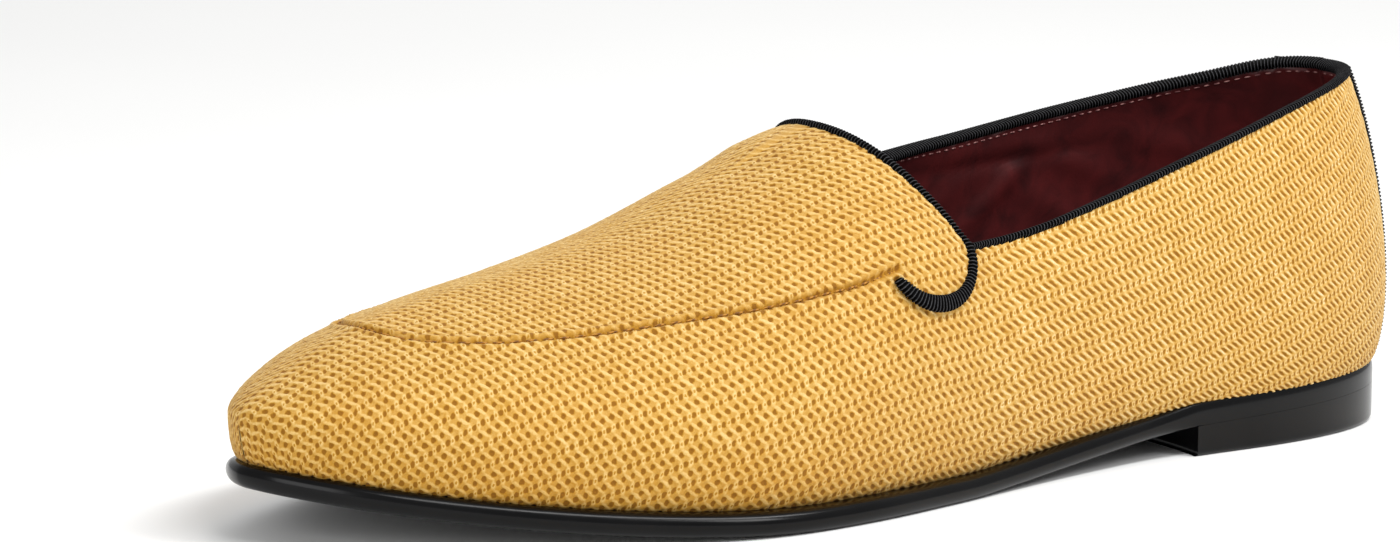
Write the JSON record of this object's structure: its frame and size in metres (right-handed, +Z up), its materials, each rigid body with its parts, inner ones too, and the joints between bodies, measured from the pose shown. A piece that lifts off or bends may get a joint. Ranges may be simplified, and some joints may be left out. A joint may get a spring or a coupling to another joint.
{
  "type": "loafer",
  "caption": "Left slipper loafer with a mustard open-weave fabric upper, black ribbon bindings, burgundy lining, thin black leather sole and low heel.",
  "frame": {"origin": "on the floor under the middle of the shoe's bounding box", "axes": "+X from heel to toe, +Y to the outer (lateral) side, +Z up"},
  "size_m": [0.302, 0.1014, 0.0809],
  "materials": {
    "woven_fabric": "open basket weave, matt with a slight yarn sheen",
    "black_ribbon": "ribbed grosgrain, low sheen",
    "sole_leather": "black edge dressing, polished",
    "lining_leather": "soft lining leather, satin"
  },
  "bodies": {
    "root": {"outsole": "sole_leather", "heel": "sole_leather", "insole": "lining_leather", "upper": "woven_fabric", "collar_binding": "black_ribbon", "throat_binding": "black_ribbon", "back_strip": "black_ribbon"}
  },
  "joints": []
}
